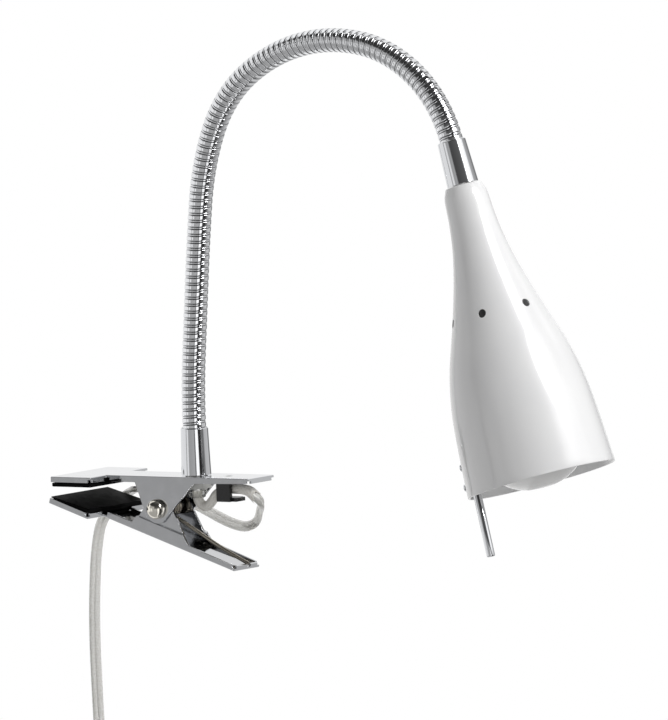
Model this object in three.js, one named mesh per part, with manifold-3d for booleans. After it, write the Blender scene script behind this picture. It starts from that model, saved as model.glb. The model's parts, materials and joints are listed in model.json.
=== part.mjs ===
// A clamp-on lamp with a flexible neck: a sprung steel clamp, a wound metal hose and a
// bottle-shaped shade. Millimetres, +Z up, +X from the jaw tips towards the handles.
// Everything is placed in the stem's frame (the foot of the stem, on top of the upper
// jaw), and the whole lamp is then moved so that its origin is the middle of the upper
// pad's gripping face.
import * as THREE from "three";
import { mergeVertices } from "three/addons/utils/BufferGeometryUtils.js";
import Module from "manifold-3d";

const wasm = await Module();
wasm.setup();

// ---- driving dimensions ----

const GAP = 0.3; // left between pieces that touch
const SLIVER = 0.002; // joined pieces lose points that stand out less than this

const SHEET = 1.2; // pressed steel of both jaws
const PIVOT = { x: -16.8, z: -15.5 }; // jaw hinge, along Y
const JAW = {
  tip: -53.2, // measured from the pivot, as the next one
  paddleEnd: -29.5,
  paddleHalfWidth: 22.2,
  halfWidth: 9.7,
  rim: 2.7,
  notch: 1.8, // relief cut in the pressing's edge where the rims end
  wall: 3.1, // side wall next to the ears, falling to endWall at the handle
  endWall: 2.5,
};
const EAR = {
  frontFoot: -12.8,
  frontCorner: [-6.5, -4.3],
  toe: -7, // the ear's lowest point
  rearFoot: 22.2,
};
// Height is from the pivot to the outer face of the jaw's plate.
const UPPER = { height: 15.5, handleEnd: 55.2 };
const LOWER = { height: 14, handleEnd: 50.5 };
const LOWER_TILT = 17.6; // degrees, with the jaws on their stop
const JOGGLE = { height: 7.3, front: -11.2, rear: 17.2 }; // the step in the lower ears
const PIN_RADIUS = 2;
const PIN_CAP_RADIUS = 4.75;
const PAD_FACE = -4.85; // the upper pad's gripping face

const SPRING = { wire: 1.85, coilRadius: 3.25, turns: 6, halfLength: 6.4 };
const LONG_LEG_END = [50, 1.6, -11.5]; // in a slot in the lower handle's end rim
const CLIP = { x: 19.2, length: 8, halfWidth: 5.2, top: -1.5, bottom: -11.8, stud: 1.4 };

const NIPPLE_RADIUS = 4.9;
const NIPPLE_BORE = 3.4;
const STEM_FERRULE = { height: 22.6, footRadius: 7.1, topRadius: 6.5 };
const HOSE_RADIUS = 5.65;
const HOSE_GAP = 2.2; // between two hose lengths, at a joint
const NECK_LENGTH = 320; // free length between the two ferrules
const NECK_BENDS = [6, 0, 1.5, 16, 31, 22.5, 23, 31, 33.5]; // degrees in each ninth of it
const NECK_JOINTS = 8;

const HEAD_FERRULE = { height: 21.5, topRadius: 6.7, footRadius: 7.5 };
const SHADE_LENGTH = 142.5;
const SHADE_WALL = 0.9;
const VENTS = { count: 6, radius: 2, depth: 61.8, firstAngle: -71.6 };
const BULB = { radius: 25, crown: 146.4 };
const ROD = { radius: 2, angle: -150, distance: 30.2, top: 122, length: 49.2, lean: 2.4 };
const RIVET = { radius: 1.1, head: 1.9, depths: [127.5, 137] };

const CORD_RADIUS = 2.3;
const SLEEVE_RADIUS = 2.4;
const COIL = { x: -85, z: -243, radius: 30, section: 8.1, tieAngle: 125 };
const SWITCH = { x: -85, y: 25.5, z: -156, length: 56, width: 20, depth: 15 };
const PLUG = {
  x: -86,
  y: 41.2,
  top: -226.6,
  length: 36,
  width: 35,
  depth: 13.7,
  pinGap: 19,
  pinRadius: 2,
  pinLength: 19,
  pinDepth: 7.7, // how far the pins go into the body
};

const FINE = 32; // sides of the large round pieces
const COARSE = 20; // sides of the small ones

const MATERIALS = {
  chrome: { color: 0xc9ccd0, roughness: 0.12, metalness: 1 },
  springSteel: { color: 0x8d8678, roughness: 0.35, metalness: 1 },
  zinc: { color: 0xb4b4ae, roughness: 0.4, metalness: 1 },
  brass: { color: 0xc2a14d, roughness: 0.35, metalness: 1 },
  rubber: { color: 0x161616, roughness: 0.85, metalness: 0 },
  blackPlastic: { color: 0x1a1a1b, roughness: 0.45, metalness: 0 },
  bakelite: { color: 0x222222, roughness: 0.5, metalness: 0 },
  whitePaint: { color: 0xf2f2f2, roughness: 0.15, metalness: 0 },
  opalGlass: { color: 0xf4f2ec, roughness: 0.3, metalness: 0 },
  sleeve: { color: 0xe6dfd0, roughness: 0.9, metalness: 0 },
  clearPvc: { color: 0xe4e4e0, roughness: 0.25, metalness: 0 },
  whitePlastic: { color: 0xeeeeec, roughness: 0.35, metalness: 0 },
};

// ---- geometry helpers ----

function toSolid(geometry) {
  const bare = geometry.clone();
  bare.deleteAttribute("normal");
  bare.deleteAttribute("uv");
  const merged = mergeVertices(bare, 1e-4);
  return new wasm.Manifold(
    new wasm.Mesh({
      numProp: 3,
      vertProperties: merged.attributes.position.array,
      triVerts: Uint32Array.from(merged.index.array),
    }),
  );
}

function toGeometry(solid) {
  const { vertProperties, triVerts } = solid.asOriginal().simplify(SLIVER).getMesh();
  const geometry = new THREE.BufferGeometry();
  geometry.setAttribute("position", new THREE.BufferAttribute(vertProperties, 3));
  geometry.setIndex(new THREE.BufferAttribute(triVerts, 1));
  geometry.computeVertexNormals();
  return geometry;
}

function join(...pieces) {
  return toGeometry(pieces.map(toSolid).reduce((sum, next) => sum.add(next)));
}

function cut(piece, ...tools) {
  return toGeometry(tools.map(toSolid).reduce((left, tool) => left.subtract(tool), toSolid(piece)));
}

// A block between two corners.
function block([x0, x1], [y0, y1], [z0, z1]) {
  const geometry = new THREE.BoxGeometry(x1 - x0, y1 - y0, z1 - z0);
  return geometry.translate((x0 + x1) / 2, (y0 + y1) / 2, (z0 + z1) / 2);
}

// A profile of [radius, height] points, counter-clockwise, turned about Z.
function turned(profile, sides = COARSE) {
  const points = profile.map(([radius, height]) => new THREE.Vector2(radius, height));
  if (profile[0][0] > 0) points.push(points[0].clone());
  return new THREE.LatheGeometry(points, sides).rotateX(Math.PI / 2);
}

function rod(radius, z0, z1, sides = COARSE) {
  return turned([[0, z0], [radius, z0], [radius, z1], [0, z1]], sides);
}

function pipe(outer, inner, z0, z1, sides = COARSE) {
  return turned([[inner, z0], [outer, z0], [outer, z1], [inner, z1]], sides);
}

// An outline of [x, z] points as a sheet between two Y values.
function sheetAcrossY(outline, y0, y1) {
  const shape = new THREE.Shape(outline.map(([x, z]) => new THREE.Vector2(x, z)));
  const geometry = new THREE.ExtrudeGeometry(shape, { depth: y1 - y0, bevelEnabled: false });
  return geometry.rotateX(Math.PI / 2).translate(0, y1, 0);
}

// A round bar along a curve, with flat ends.
function barAlong(curve, radius, steps, sides) {
  const section = new THREE.Shape().absarc(0, 0, radius, 0, 2 * Math.PI);
  const options = { steps, curveSegments: sides / 2, extrudePath: curve };
  return new THREE.ExtrudeGeometry(section, options);
}

function routeThrough(points) {
  const vectors = points.map((point) => new THREE.Vector3(...point));
  return new THREE.CatmullRomCurve3(vectors, false, "centripetal");
}

function radians(degrees) {
  return THREE.MathUtils.degToRad(degrees);
}

function arcPoints(radius, from, to, count) {
  return Array.from({ length: count + 1 }, (_, i) => {
    const angle = radians(from + ((to - from) * i) / count);
    return [radius * Math.cos(angle), radius * Math.sin(angle)];
  });
}

const lamp = new THREE.Group();
lamp.position.set((PIVOT.x + JAW.tip + PIVOT.x + JAW.paddleEnd) / -2, 0, -PAD_FACE);

function add(name, geometry, look, parent = lamp) {
  const mesh = new THREE.Mesh(geometry, new THREE.MeshStandardMaterial(MATERIALS[look]));
  mesh.name = name;
  parent.add(mesh);
  return mesh;
}

// ---- clamp ----

// Everything of a jaw but its ears, with the pivot at the origin and the plate's outer
// face at z = height.
function jawPan({ height, handleEnd }, wallTop) {
  const { tip, paddleEnd, paddleHalfWidth, halfWidth, rim, notch } = JAW;
  const inside = [height - rim, height];
  const plate = cut(
    block([tip, handleEnd], [-paddleHalfWidth, paddleHalfWidth], [height - SHEET, height]),
    block([paddleEnd, handleEnd + 1], [halfWidth, paddleHalfWidth + 1], [0, height + 1]),
    block([paddleEnd, handleEnd + 1], [-paddleHalfWidth - 1, -halfWidth], [0, height + 1]),
  );
  const rims = [block([tip, tip + SHEET], [-paddleHalfWidth, paddleHalfWidth], inside)];
  for (const side of [-1, 1]) {
    const across = (a, b) => [Math.min(side * a, side * b), Math.max(side * a, side * b)];
    rims.push(
      block([tip, paddleEnd - notch], across(paddleHalfWidth - SHEET, paddleHalfWidth), inside),
      block([paddleEnd - SHEET, paddleEnd], across(halfWidth + notch, paddleHalfWidth - notch), inside),
      sheetAcrossY(wallTop, ...across(halfWidth - SHEET, halfWidth)),
    );
  }
  const endRim = block(
    [handleEnd - SHEET, handleEnd],
    [notch - halfWidth, halfWidth - notch],
    [height - JAW.endWall, height],
  );
  return join(plate, ...rims, endRim);
}

// The outline of a jaw's side wall, with the given points along its ear's edge.
function sideWall({ height, handleEnd }, earEdge) {
  const start = JAW.paddleEnd + JAW.notch;
  return [
    [start, height],
    [start, height - JAW.wall],
    ...earEdge,
    [handleEnd - JAW.notch, height - JAW.endWall],
    [handleEnd - JAW.notch, height],
  ];
}

const pinHole = rod(PIN_RADIUS + GAP, -30, 30).rotateX(Math.PI / 2);

function upperJaw() {
  const stemHole = rod(NIPPLE_RADIUS + GAP, 0, 30).translate(-PIVOT.x, 0, 0);
  const clipHole = rod(CLIP.stud + GAP, 0, 30).translate(CLIP.x - PIVOT.x, 0, 0);
  const earEdge = [
    [EAR.frontFoot, UPPER.height - JAW.wall],
    EAR.frontCorner,
    ...arcPoints(-EAR.toe, -125, -68, 4),
    [EAR.rearFoot, UPPER.height - JAW.wall],
  ];
  const pan = jawPan(UPPER, sideWall(UPPER, earEdge));
  return cut(pan, pinHole, stemHole, clipHole).translate(PIVOT.x, 0, PIVOT.z);
}

// The lower jaw's ears step inwards to pass between the upper jaw's.
function lowerJaw() {
  const step = [JOGGLE.height, JOGGLE.height + SHEET];
  const ear = [
    [JOGGLE.front, step[1]],
    ...arcPoints(-EAR.toe, -158, -62, 6),
    [JOGGLE.rear + 0.8, step[1]],
  ];
  const wallEdge = [
    [EAR.frontFoot, LOWER.height - JAW.wall],
    [JOGGLE.front, JOGGLE.height],
    [JOGGLE.rear, JOGGLE.height],
    [JOGGLE.rear + 4.6, LOWER.height - JAW.wall],
  ];
  const outer = JAW.halfWidth - SHEET - GAP;
  const inner = outer - SHEET;
  const pieces = [jawPan(LOWER, sideWall(LOWER, wallEdge))];
  for (const side of [-1, 1]) {
    const across = (a, b) => [Math.min(side * a, side * b), Math.max(side * a, side * b)];
    pieces.push(
      sheetAcrossY(ear, ...across(inner, outer)),
      block([JOGGLE.front, JOGGLE.rear], across(inner, JAW.halfWidth), step),
    );
  }
  const legSlot = block(
    [LOWER.handleEnd - 2 * SHEET, LOWER.handleEnd + 1],
    [-LONG_LEG_END[1] - SPRING.wire / 2 - GAP, -LONG_LEG_END[1] + SPRING.wire / 2 + GAP],
    [LOWER.height - JAW.endWall - 1, LOWER.height - SHEET],
  );
  return cut(join(...pieces), pinHole, legSlot);
}

// A rubber pad held in the paddle's rims: a core inside them and a face over them.
function jawPad(height, tipFace, rearFace) {
  const { tip, paddleEnd, paddleHalfWidth, rim } = JAW;
  const core = block(
    [tip + SHEET + GAP, paddleEnd - SHEET - GAP],
    [SHEET + GAP - paddleHalfWidth, paddleHalfWidth - SHEET - GAP],
    [height - rim - GAP - 0.1, height - SHEET - GAP],
  );
  const rimLine = height - rim - GAP;
  const face = [
    [tip + GAP, rimLine],
    [tip + GAP, height - tipFace],
    [paddleEnd - GAP, height - rearFace],
    [paddleEnd - GAP, rimLine],
  ];
  const halfFace = paddleHalfWidth - GAP;
  return join(core, sheetAcrossY(face, -halfFace, halfFace));
}

function buildClamp() {
  const upperPad = jawPad(UPPER.height, -PAD_FACE, -PAD_FACE);
  add("upper_jaw", upperJaw(), "chrome");
  add("upper_jaw_pad", upperPad.translate(PIVOT.x, 0, PIVOT.z), "rubber");

  const lower = new THREE.Group();
  lower.position.set(PIVOT.x, 0, PIVOT.z);
  lower.rotation.set(Math.PI, radians(LOWER_TILT), 0, "YXZ");
  lamp.add(lower);
  add("lower_jaw", lowerJaw(), "chrome", lower);
  add("lower_jaw_pad", jawPad(LOWER.height, 3.6, 4.8), "rubber", lower);

  const pinHalf = JAW.halfWidth + 3.2;
  const pin = rod(PIN_RADIUS, -pinHalf, pinHalf).rotateX(Math.PI / 2);
  add("pivot_pin", pin.translate(PIVOT.x, 0, PIVOT.z), "zinc");
  for (const [name, turn] of [["pivot_cap_near", 1], ["pivot_cap_far", -1]]) {
    const dome = arcPoints(PIN_CAP_RADIUS, 0, 90, 4).map(([r, z]) => [r, 0.6 + 0.9 * z]);
    dome[dome.length - 1][0] = 0;
    const socket = PIN_RADIUS + GAP;
    const profile = [[socket, 0], [PIN_CAP_RADIUS, 0], ...dome, [0, 3.2], [socket, 3.2]];
    const cap = turned(profile, 16).translate(0, 0, JAW.halfWidth + GAP);
    cap.rotateX((turn * Math.PI) / 2).translate(PIVOT.x, 0, PIVOT.z);
    add(name, cap, "chrome");
  }
}

// The spring's coil sits round the pin, with a short leg under the upper plate. Its
// long leg runs down the lower handle, as a piece that turns with the lower jaw.
function buildSpring() {
  const { wire, coilRadius, turns, halfLength } = SPRING;
  const pitch = (2 * halfLength) / turns;
  const profile = [[coilRadius - wire / 2, -halfLength]];
  for (let turn = 0; turn < turns; turn += 1) {
    const start = -halfLength + turn * pitch;
    profile.push([coilRadius + 0.3, start]);
    profile.push([coilRadius + wire / 2, start + pitch / 3]);
    profile.push([coilRadius + wire / 2, start + (2 * pitch) / 3]);
  }
  profile.push([coilRadius + 0.3, halfLength], [coilRadius - wire / 2, halfLength]);
  const coil = turned(profile, 16).rotateX(Math.PI / 2);
  const legY = halfLength - wire / 2;
  const shortLeg = routeThrough([[0.5, legY, coilRadius], [5, legY, 7], [8, legY, 12.4]]);
  const spring = join(coil, barAlong(shortLeg, wire / 2, 6, 8));
  add("torsion_spring", spring.translate(PIVOT.x, 0, PIVOT.z), "springSteel");

  const lower = new THREE.Group();
  lower.position.set(PIVOT.x, 0, PIVOT.z);
  lower.rotation.set(0, radians(LOWER_TILT), 0);
  lamp.add(lower);
  const longLeg = routeThrough([
    [5.4, -legY, -0.8],
    [8.4, -legY, -1.5],
    [19.3, -3.5, -4.4],
    [33.9, -1.2, -8.2],
    LONG_LEG_END,
  ]);
  add("torsion_spring_long_leg", barAlong(longLeg, wire / 2, 12, 8), "springSteel", lower);
}

function buildCableClip() {
  const { x, length, halfWidth, top, bottom, stud } = CLIP;
  const along = [x - length / 2, x + length / 2];
  const ring = block(along, [-halfWidth, halfWidth], [bottom, top]);
  const opening = block([x - length, x + length], [-3.2, 3.2], [bottom + 1.8, top - 1.7]);
  const slit = block([x - length, x + length], [3, halfWidth + 1], [bottom + 1.8, bottom + 3]);
  const hook = block([x, x + length / 2 + 2.5], [-3.5, 3.5], [bottom, bottom + 1.8]);
  const shank = rod(stud, top - 0.5, -0.05).translate(x, 0, 0);
  add("cable_clip", join(cut(ring, opening, slit), hook, shank), "blackPlastic");
}

// ---- stem ----

function hexNut(cornerRadius, z0, z1) {
  return cut(rod(cornerRadius, z0, z1, 6), rod(NIPPLE_RADIUS + GAP, z0 - 1, z1 + 1));
}

function buildStem() {
  const { height, footRadius, topRadius } = STEM_FERRULE;
  const bore = HOSE_RADIUS + GAP;
  const ferrule = [
    [NIPPLE_RADIUS + GAP, GAP],
    [footRadius, GAP],
    [topRadius, height - 0.6],
    [topRadius - 0.4, height],
    [bore, height],
    [bore, 9],
    [NIPPLE_RADIUS + GAP, 8],
  ];
  add("stem_ferrule", turned(ferrule, 32), "chrome");
  add("stem_nipple", pipe(NIPPLE_RADIUS, NIPPLE_BORE, -7, 7.7), "zinc");
  add("stem_lock_washer", pipe(7, NIPPLE_RADIUS + GAP, -2.3, -1.5), "zinc");
  add("stem_nut", hexNut(7, -6.2, -2.6), "zinc");
  const bush = [[SLEEVE_RADIUS + GAP, -10.6], [4, -10.6], [4.6, -7.3], [SLEEVE_RADIUS + GAP, -7.3]];
  add("cable_bush", turned(bush, 16), "clearPvc");
}

// The neck's centreline: arcs of equal length in the X-Z plane, straight beyond its ends.
function neckAt(length) {
  const arc = NECK_LENGTH / NECK_BENDS.length;
  let x = 0;
  let z = STEM_FERRULE.height;
  let heading = 0;
  let left = length;
  if (left < 0) return { x, z: z + left, heading };
  for (const degrees of NECK_BENDS) {
    const run = Math.min(left, arc);
    const turn = radians(degrees) * (run / arc);
    const chord = turn ? (2 * Math.sin(turn / 2) * run) / turn : run;
    x += chord * Math.sin(heading + turn / 2);
    z += chord * Math.cos(heading + turn / 2);
    heading += turn;
    left -= run;
    if (left <= 0) return { x, z, heading };
  }
  return { x: x + left * Math.sin(heading), z: z + left * Math.cos(heading), heading };
}

class NeckCurve extends THREE.Curve {
  constructor(from, to) {
    super();
    this.from = from;
    this.to = to;
  }

  getPoint(t, target = new THREE.Vector3()) {
    const { x, z } = neckAt(this.from + t * (this.to - this.from));
    return target.set(x, 0, z);
  }
}

function buildNeck() {
  const pitch = NECK_LENGTH / NECK_JOINTS;
  for (let i = 0; i <= NECK_JOINTS; i += 1) {
    const from = i === 0 ? -13 : (i - 0.5) * pitch + HOSE_GAP / 2;
    const to = i === NECK_JOINTS ? NECK_LENGTH + 12 : (i + 0.5) * pitch - HOSE_GAP / 2;
    const turn = neckAt(to).heading - neckAt(from).heading;
    const steps = Math.max(2, Math.ceil(turn / radians(6)));
    const hose = barAlong(new NeckCurve(from, to), HOSE_RADIUS, steps, COARSE);
    add(`gooseneck_${i + 1}`, hose, "chrome");
  }
}

// ---- head ----

// The shade's outer radius at each depth below its top.
const SHADE_OUTLINE = [
  [0, 8.3],
  [0.5, 8.8],
  [4.7, 10.2],
  [16, 11.1],
  [28, 12.7],
  [40, 15.3],
  [52.6, 18.8],
  [67.7, 23.6],
  [80.8, 28],
  [92.8, 31],
  [105, 33],
  [122, 34.4],
  [SHADE_LENGTH, 35.6],
];

function shade() {
  const outer = SHADE_OUTLINE.map(([depth, radius]) => [radius, -depth]);
  const inner = SHADE_OUTLINE.slice(2)
    .map(([depth, radius]) => [radius - SHADE_WALL, depth === SHADE_LENGTH ? -depth : -depth - 0.3])
    .reverse();
  const profile = [...outer.reverse(), [5.2, 0], [5.2, -1.2], [7.9, -1.5], ...inner.reverse()];
  const holes = [];
  for (let i = 0; i < VENTS.count; i += 1) {
    const angle = radians(VENTS.firstAngle + (i * 360) / VENTS.count);
    const drill = rod(VENTS.radius, 14, 40, 12).rotateY(Math.PI / 2).rotateZ(angle);
    holes.push(drill.translate(0, 0, -VENTS.depth));
  }
  for (const depth of RIVET.depths) {
    holes.push(radial(rod(RIVET.radius + GAP, 25, 45, 10), depth));
  }
  return cut(turned(profile, FINE), ...holes);
}

// Turns a piece made along Z so that it points out of the shade at the rod's side.
function radial(piece, depth) {
  return piece.rotateY(Math.PI / 2).rotateZ(radians(ROD.angle)).translate(0, 0, -depth);
}

function shadeRadius(depth) {
  const next = SHADE_OUTLINE.findIndex(([d]) => d >= depth);
  const [d0, r0] = SHADE_OUTLINE[next - 1];
  const [d1, r1] = SHADE_OUTLINE[next];
  return r0 + ((r1 - r0) * (depth - d0)) / (d1 - d0);
}

function buildBulb(head) {
  const { radius, crown } = BULB;
  const neck = crown - 66;
  const outline = [
    [6.3, neck + 1],
    [9.5, neck + 4],
    [13.5, neck + 13],
    [19, neck + 25],
    [23.6, neck + 36],
    [radius, neck + 44],
    [24, neck + 51],
    [20.5, neck + 57.5],
    [14.6, neck + 62.6],
    [7.5, neck + 65.4],
  ];
  const outer = outline.map(([r, depth]) => [r, -depth]);
  const inner = outline.map(([r, depth]) => [r - 0.8, -depth + (depth > neck + 50 ? 0.8 : 0)]);
  const profile = [...outer, [0, -crown], [0, -crown + 1], ...inner.reverse()];
  add("bulb_glass", turned(profile.reverse(), 28), "opalGlass", head);
  const cap = [
    [0, -neck],
    [6.9, -neck + 0.4],
    [6.9, -neck + 15],
    [5.6, -neck + 16],
    [2.4, -neck + 18],
    [0, -neck + 18],
  ];
  add("bulb_cap", turned(cap, 16), "brass", head);
}

function buildHead() {
  const top = neckAt(NECK_LENGTH + HEAD_FERRULE.height + GAP);
  const head = new THREE.Group();
  head.position.set(top.x, 0, top.z);
  head.rotation.set(0, top.heading - Math.PI, 0);
  lamp.add(head);

  const { height, topRadius, footRadius } = HEAD_FERRULE;
  const bore = HOSE_RADIUS + GAP;
  const ferrule = [
    [NIPPLE_RADIUS + GAP, GAP],
    [footRadius, GAP],
    [topRadius, height - 0.4],
    [topRadius - 0.4, height],
    [bore, height],
    [bore, 8.9],
    [NIPPLE_RADIUS + GAP, 7.9],
  ];
  add("head_ferrule", turned(ferrule, 32), "chrome", head);
  add("head_nipple", pipe(NIPPLE_RADIUS, NIPPLE_BORE, -11, 7.6), "zinc", head);
  add("head_lock_washer", pipe(6.8, NIPPLE_RADIUS + GAP, -2.6, -1.8), "zinc", head);
  add("head_nut", hexNut(6.8, -6.4, -2.9), "zinc", head);
  add("shade", shade(), "whitePaint", head);

  const holderTop = [
    [NIPPLE_RADIUS + GAP, -11],
    [NIPPLE_RADIUS + GAP, -8],
    [8, -8],
    [8.6, -24],
    [11, -38],
    [9.6, -38],
    [7.4, -24],
    [6.8, -11],
  ];
  add("lampholder_dome", turned(holderTop.reverse(), 24), "bakelite", head);
  const skirt = [[11.4, -81], [11.4, -38.3], [9.5, -38.3], [9.5, -81]];
  add("lampholder_skirt", turned(skirt, 24), "bakelite", head);
  const shell = [[8.4, -79], [8.4, -44], [3, -44], [3, -45], [7.4, -45], [7.4, -79]];
  add("lampholder_shell", turned(shell, 20), "brass", head);
  add("lampholder_contact", rod(2, -59.5, -46, 12), "brass", head);
  buildBulb(head);

  const place = (piece) => {
    piece.translate(0, 0, ROD.top).rotateY(radians(-ROD.lean));
    return piece.translate(ROD.distance, 0, -ROD.top).rotateZ(radians(ROD.angle));
  };
  const grip = ROD.length + ROD.top;
  const tipRound = [[0, -grip], [ROD.radius - 0.6, -grip], [ROD.radius, -grip + 0.6]];
  const bar = turned([...tipRound, [ROD.radius, -ROD.top], [0, -ROD.top]], 16);
  add("aiming_rod", place(bar), "chrome", head);
  const body = block([-3.9, 2.1], [-4, 4], [-SHADE_LENGTH + 2.5, -ROD.top - 0.6]);
  const bracket = cut(place(body), place(rod(ROD.radius + GAP, -grip, 0, 16)));
  const room = RIVET.depths.map((depth) => radial(rod(RIVET.radius + GAP, 25, 45, 10), depth));
  add("rod_bracket", cut(bracket, ...room), "blackPlastic", head);
  RIVET.depths.forEach((depth, i) => {
    const wall = shadeRadius(depth);
    const lean = Math.tan(radians(ROD.lean)) * (depth - ROD.top);
    const stem = rod(RIVET.radius, ROD.distance + lean + ROD.radius + GAP, wall + 0.4, 10);
    const dome = [[0, wall + GAP], [RIVET.head, wall + GAP], [1.4, wall + 1], [0, wall + 1.3]];
    add(`rod_rivet_${i + 1}`, radial(join(stem, turned(dome, 12)), depth), "chrome", head);
  });
}

// ---- cord ----

const SLEEVE_ROUTE = [
  [0, 0, 6],
  [0, 0, -7],
  [0, 0.1, -10.2],
  [1, 1, -13.6],
  [4, 1.6, -14.9],
  [7.6, 1.2, -12.4],
  [11.2, 0.4, -8.9],
  [15.2, 0, -7],
  [20, 0, -6.1],
  [26.2, 0.1, -6.1],
  [30.4, 0.8, -7.1],
  [32.3, 2.2, -9.4],
];

// From the cut end of the sleeve, round in a loop below the handle, past the far ears,
// over the rear corner of the lower paddle and straight down to the switch.
const CORD_ROUTE = [
  [32.9, 2.6, -10.1],
  [33.4, 4.4, -11.8],
  [31.6, 7.7, -14],
  [27.6, 11.8, -17.3],
  [23, 14.6, -23.1],
  [16.3, 15.5, -25.6],
  [8.9, 15.6, -24.6],
  [1.6, 15.6, -22.1],
  [-5.9, 16.6, -19.4],
  [-14, 17.7, -16.6],
  [-26, 17.8, -12.6],
  [-38, 17.4, -10.1],
  [-46, 18, -9.6],
  [-51.5, 20, -9.8],
  [-56.5, 23.4, -10.9],
  [-61.5, 25.2, -13],
  [-67, 25.5, -16.6],
  [-73, 25.5, -21.4],
  [-78, 25.5, -27.6],
  [-81.1, 25.5, -38],
  [-83.3, 25.5, -54],
  [SWITCH.x, SWITCH.y, -80],
  [SWITCH.x, SWITCH.y, SWITCH.z + SWITCH.length / 2 + GAP],
];

// From the front of the coil over to the plug, which hangs beside it.
const TAIL_ROUTE = [
  [-65.2, 36.5, -221],
  [-69.5, 37.6, -216.6],
  [-75.6, 39.4, -213.4],
  [-81.6, 40.8, -214.6],
  [-85.4, 41.2, -219.8],
  [PLUG.x, PLUG.y, PLUG.top + GAP],
];

function buildSwitch() {
  const { x, y, z, length, width, depth } = SWITCH;
  const unit = new THREE.Group();
  unit.position.set(x, y, z);
  lamp.add(unit);
  const outline = new THREE.Shape();
  const corner = 6;
  const straight = length / 2 - corner;
  outline.absarc(corner - width / 2, -straight, corner, Math.PI, 1.5 * Math.PI);
  outline.absarc(width / 2 - corner, -straight, corner, 1.5 * Math.PI, 2 * Math.PI);
  outline.absarc(width / 2 - corner, straight, corner, 0, 0.5 * Math.PI);
  outline.absarc(corner - width / 2, straight, corner, 0.5 * Math.PI, Math.PI);
  const half = (front) => {
    const options = { depth: depth / 2 - 0.15, bevelEnabled: false, curveSegments: 5 };
    const shell = new THREE.ExtrudeGeometry(outline, options).rotateX(Math.PI / 2);
    return shell.translate(0, front ? -0.15 : depth / 2, 0);
  };
  const cordRoom = block([-6.5, 6.5], [-4.5, 4.5], [-15, 15]);
  const window = block([-5.5, 5.5], [-depth, -1], [-8.5, 8.5]);
  add("switch_cover", cut(half(true), cordRoom, window), "whitePlastic", unit);
  add("switch_base", cut(half(false), cordRoom), "whitePlastic", unit);

  const rocker = new THREE.Group();
  rocker.position.set(0, -depth / 2 + 3.2, 0);
  unit.add(rocker);
  // Its lower half is flush and its upper half stands out: the switch is off.
  const side = [[-3.2, -8], [-3.2, 0], [-5.1, 7.2], [1, 7], [2, 2.5], [2, -2.5], [1, -7.6]];
  const shape = new THREE.Shape(side.map(([y, z]) => new THREE.Vector2(y, z)));
  const key = new THREE.ExtrudeGeometry(shape, { depth: 10, bevelEnabled: false });
  key.translate(0, 0, -5).rotateX(Math.PI / 2).rotateZ(Math.PI / 2);
  add("switch_rocker", key, "whitePlastic", rocker);
}

function buildPlug() {
  const { x, y, top, length, width, depth, pinGap } = PLUG;
  const plug = new THREE.Group();
  plug.position.set(x, y, top);
  lamp.add(plug);
  const outline = [
    [-5, 0],
    [-8, -10],
    [-width / 2, -19],
    [-width / 2, -length],
    [width / 2, -length],
    [width / 2, -19],
    [8, -10],
    [5, 0],
  ];
  const { pinRadius, pinLength, pinDepth } = PLUG;
  const pinRoom = [-1, 1].map((side) =>
    rod(pinRadius + GAP, -length - 1, pinDepth - length + GAP, 12).translate((side * pinGap) / 2, 0, 0),
  );
  const body = cut(sheetAcrossY(outline, -depth / 2, depth / 2), ...pinRoom);
  add("plug_body", body, "whitePlastic", plug);
  const pinTip = -length - pinLength;
  const pin = [
    [0, pinTip],
    [pinRadius - 0.6, pinTip],
    [pinRadius, pinTip + 1.4],
    [pinRadius, pinDepth - length],
    [0, pinDepth - length],
  ];
  for (const [name, side] of [["plug_pin_left", -1], ["plug_pin_right", 1]]) {
    add(name, turned(pin, 12).translate((side * pinGap) / 2, 0, 0), "chrome", plug);
  }
}

function buildCord() {
  const sleeve = barAlong(routeThrough(SLEEVE_ROUTE), SLEEVE_RADIUS, 24, 8);
  add("insulating_sleeve", sleeve, "sleeve");
  add("cord_run", barAlong(routeThrough(CORD_ROUTE), CORD_RADIUS, 44, 8), "clearPvc");
  buildSwitch();

  const switchFoot = SWITCH.z - SWITCH.length / 2 - GAP;
  const coilTop = COIL.z + COIL.radius + COIL.section;
  const below = routeThrough([
    [SWITCH.x, SWITCH.y, switchFoot],
    [SWITCH.x, SWITCH.y, (switchFoot + coilTop) / 2 + 3],
    [SWITCH.x + 0.5, SWITCH.y, coilTop + 1],
  ]);
  add("cord_run_below_switch", barAlong(below, CORD_RADIUS, 4, 8), "clearPvc");

  const { radius, section } = COIL;
  const ring = pipe(radius + section, radius - section, -section, section, 32);
  const coil = ring.rotateX(Math.PI / 2).translate(COIL.x, SWITCH.y, COIL.z);
  add("cord_coil", coil, "clearPvc");
  const room = section + 0.5;
  const band = room + 1.2;
  const strap = block([-3.5, 3.5], [-band, band], [-band, band]);
  const tie = cut(strap, block([-4, 4], [-room, room], [-room, room]));
  tie.translate(0, 0, radius).rotateY(radians(90 - COIL.tieAngle));
  add("coil_tie", tie.translate(COIL.x, SWITCH.y, COIL.z), "blackPlastic");
  add("cord_tail", barAlong(routeThrough(TAIL_ROUTE), CORD_RADIUS, 12, 8), "clearPvc");
  buildPlug();
}

buildClamp();
buildSpring();
buildCableClip();
buildStem();
buildNeck();
buildHead();
buildCord();

export default lamp;
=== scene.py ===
"""The looks of a clamp-on lamp with a flexible neck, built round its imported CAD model.

Lengths are millimetres in the stem's frame (the foot of the stem, on top of the upper jaw)
until at(), HEAD or LOWER turn them into metres in the row frame.
"""

import json
import math

import bmesh
import bpy
import numpy as np
from mathutils import Matrix, Vector

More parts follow.
